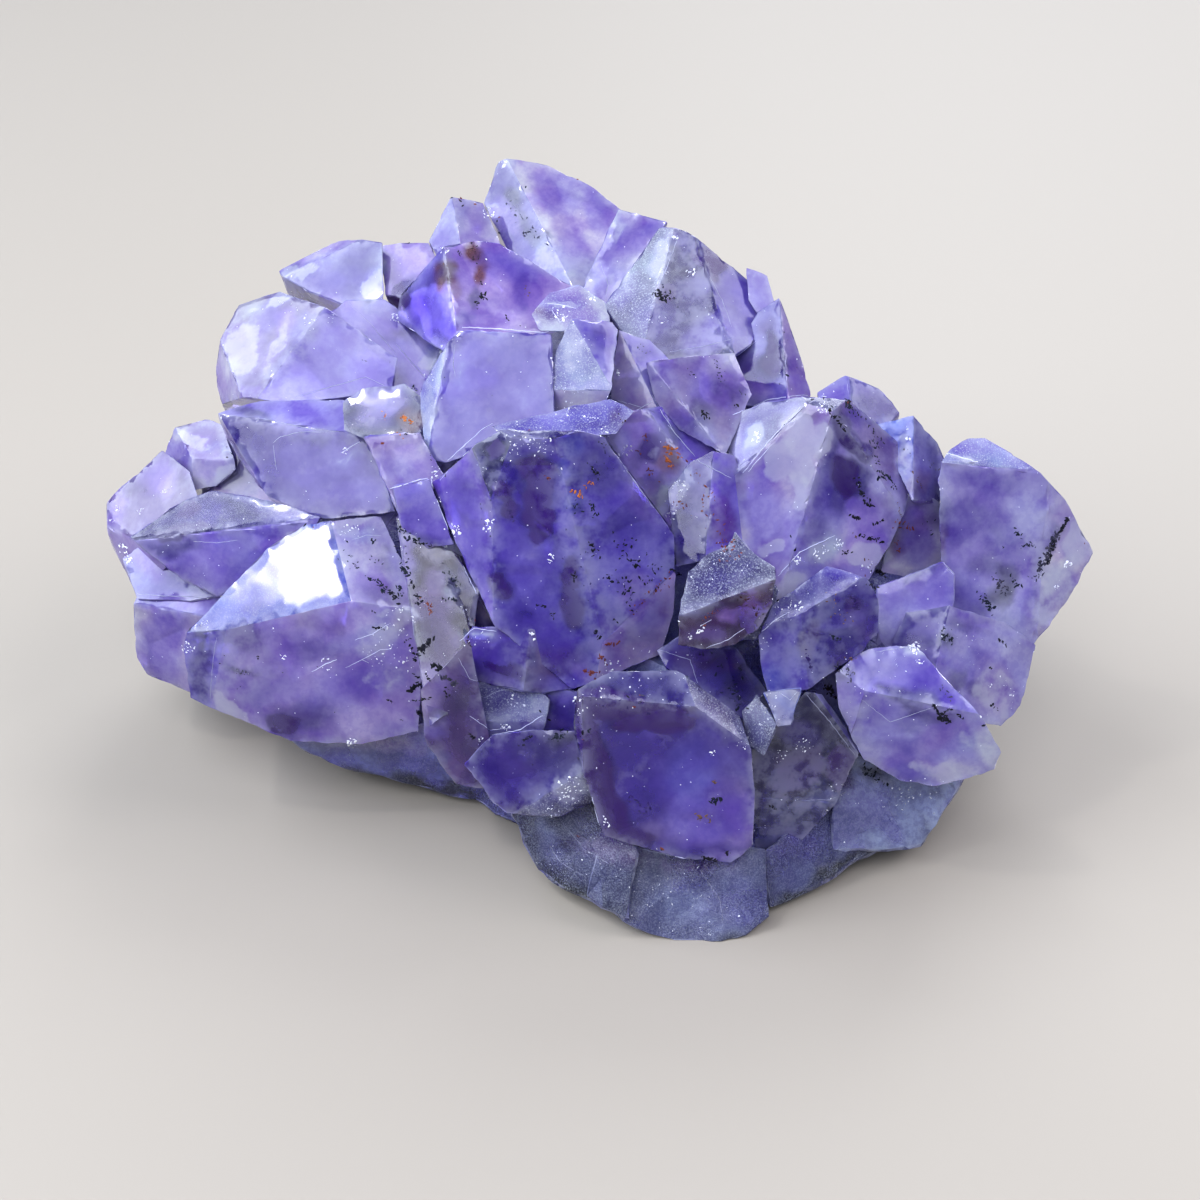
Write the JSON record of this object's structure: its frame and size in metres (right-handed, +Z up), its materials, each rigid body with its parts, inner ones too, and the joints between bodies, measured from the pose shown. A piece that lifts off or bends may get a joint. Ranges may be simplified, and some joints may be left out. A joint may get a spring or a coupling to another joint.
{
  "type": "amethyst cluster",
  "caption": "A hand-size cluster of violet quartz crystals grown together on a pale bluish quartz base that rests on its broken flat underside.",
  "frame": {"origin": "bottom centre of the bounding box, on the surface that the cluster rests on", "axes": "+X along the longest extent, to the right of the pictured side; +Y to the back, away from the pictured side; +Z up"},
  "size_m": [0.0952, 0.0736, 0.0475],
  "materials": {
    "amethyst": "natural crystal faces, vitreous, milky translucent violet with pale bluish base"
  },
  "bodies": {
    "root": {"amethyst_cluster": "amethyst"}
  },
  "joints": []
}
